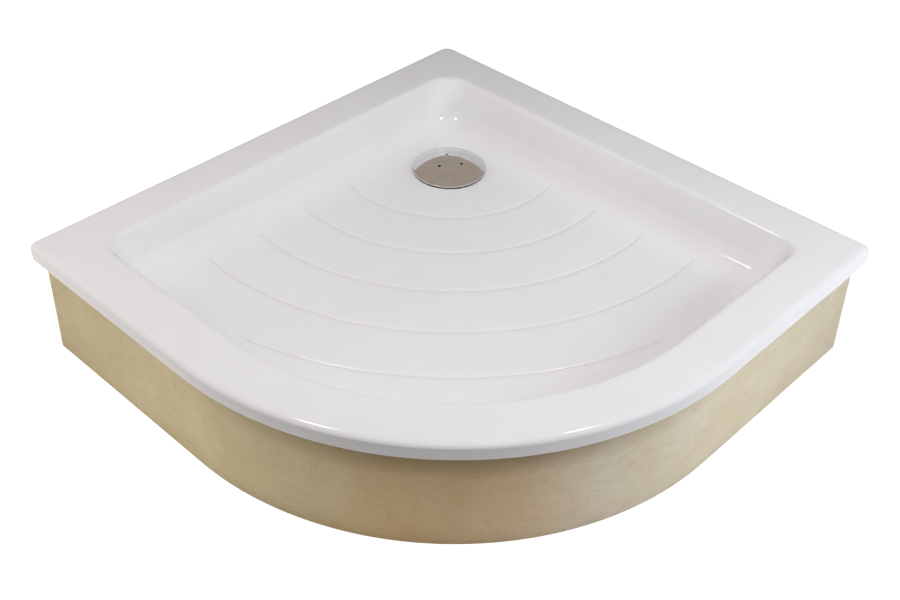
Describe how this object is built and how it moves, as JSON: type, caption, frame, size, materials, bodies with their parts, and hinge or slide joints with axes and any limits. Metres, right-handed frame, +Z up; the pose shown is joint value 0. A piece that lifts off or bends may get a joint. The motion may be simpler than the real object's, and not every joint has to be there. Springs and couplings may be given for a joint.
{
  "type": "quadrant shower tray",
  "caption": "Quadrant shower tray: coved acrylic shell with arc grooves on a rigid foam block, with a domed waste cover, clamped trap and swivel outlet.",
  "frame": {"origin": "centre of the 800 mm square in plan, on the floor under the foam", "axes": "+Z up from the floor to the rim; the square back corner is at -X +Y, the two wall sides face -X and +Y, and the curved front faces +X -Y"},
  "size_m": [0.8, 0.8, 0.18],
  "materials": {
    "acrylic": "gloss white acrylic",
    "foam": "rigid polyurethane foam with a moulded skin",
    "chrome": "polished chrome",
    "steel": "zinc-plated steel",
    "brass": "brass",
    "rubber": "black rubber",
    "trap_plastic": "white polypropylene",
    "grey_plastic": "grey polypropylene"
  },
  "bodies": {
    "tray": {"acrylic_shell": "acrylic", "foam_body": "foam", "upper_seal": "rubber", "lower_seal": "rubber", "waste_flange": "chrome", "flange_screws": "steel", "screw_inserts": "brass", "trap_body": "trap_plastic", "ball_seal": "rubber", "slip_ring": "trap_plastic", "union_nut": "trap_plastic"},
    "cover": {"waste_cover": "chrome", "cover_carrier": "grey_plastic"},
    "insert": {"trap_insert": "trap_plastic", "insert_o_ring": "rubber", "hair_strainer": "grey_plastic"},
    "outlet": {"outlet_ball": "grey_plastic"}
  },
  "joints": [
    {"name": "cover_lift", "type": "slide", "parent": "tray", "child": "cover", "axis": [0, 0, 1], "range_m": [0, 0.15]},
    {"name": "insert_lift", "type": "slide", "parent": "tray", "child": "insert", "axis": [0, 0, 1], "range_m": [0, 0.09]},
    {"name": "outlet_swivel", "type": "hinge", "parent": "tray", "child": "outlet", "pos_m": [-0.273, 0.205, 0.05], "axis": [0, 0, 1], "range_deg": [-12, 12]}
  ],
  "couplings": [
    {"joint": "insert_lift", "follows": "cover_lift", "ratio": 0.6}
  ]
}
